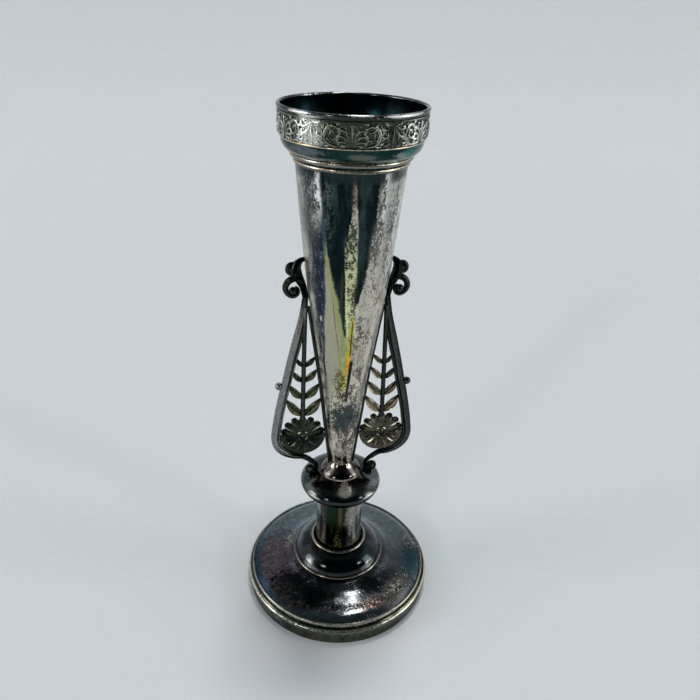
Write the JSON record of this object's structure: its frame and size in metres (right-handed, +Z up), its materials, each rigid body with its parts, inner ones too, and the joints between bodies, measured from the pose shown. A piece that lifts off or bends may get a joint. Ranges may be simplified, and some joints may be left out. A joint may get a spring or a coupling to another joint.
{
  "type": "trumpet vase",
  "caption": "Tall spun trumpet vase on a stemmed round foot, with an ornamented mouth band and a flat pierced handle on each side, for cut flowers.",
  "frame": {"origin": "middle of the foot's resting ring, on the surface that the vase stands on", "axes": "+Z up along the vase's axis, +X through the right handle, -Y towards the viewer"},
  "size_m": [0.0926, 0.0926, 0.2361],
  "materials": {
    "tarnished_silver": "tarnished silver plate, still mirror-like, with dark blue-green and brown clouds",
    "worn_edge": "silver plate worn through to warm base metal on the ridges",
    "ornament_silver": "embossed silver plate, bright on its high parts and black in its ground",
    "cast_pewter": "dark cast white metal, plated and dulled, greenish brown in its hollows",
    "brass_fittings": "turned brass, dull"
  },
  "bodies": {
    "root": {"foot_skirt": "tarnished_silver", "foot_bead_wire": "worn_edge", "foot_plate": "tarnished_silver", "foot_boss": "tarnished_silver", "boss_wire": "worn_edge", "stem_ring": "worn_edge", "stem_tube": "tarnished_silver", "knop_ring": "worn_edge", "knop_lower_shell": "tarnished_silver", "knop_upper_shell": "tarnished_silver", "bell_collar": "tarnished_silver", "trumpet_plug": "brass_fittings", "trumpet_body": "tarnished_silver", "neck_wire": "worn_edge", "cove_ring": "worn_edge", "cove_moulding": "tarnished_silver", "band_edge_ring": "worn_edge", "ornament_band": "ornament_silver", "lip_wire": "tarnished_silver", "tie_rod": "brass_fittings", "rod_washer": "brass_fittings", "rod_nut": "brass_fittings", "handle_frame_right": "cast_pewter", "handle_frame_left": "cast_pewter", "handle_leaf_spray_right": "cast_pewter", "handle_leaf_spray_left": "cast_pewter", "handle_rosette_right": "cast_pewter", "handle_rosette_left": "cast_pewter", "handle_rivet_right": "worn_edge", "handle_rivet_left": "worn_edge", "handle_bead_right": "cast_pewter", "handle_bead_left": "cast_pewter"}
  },
  "joints": []
}
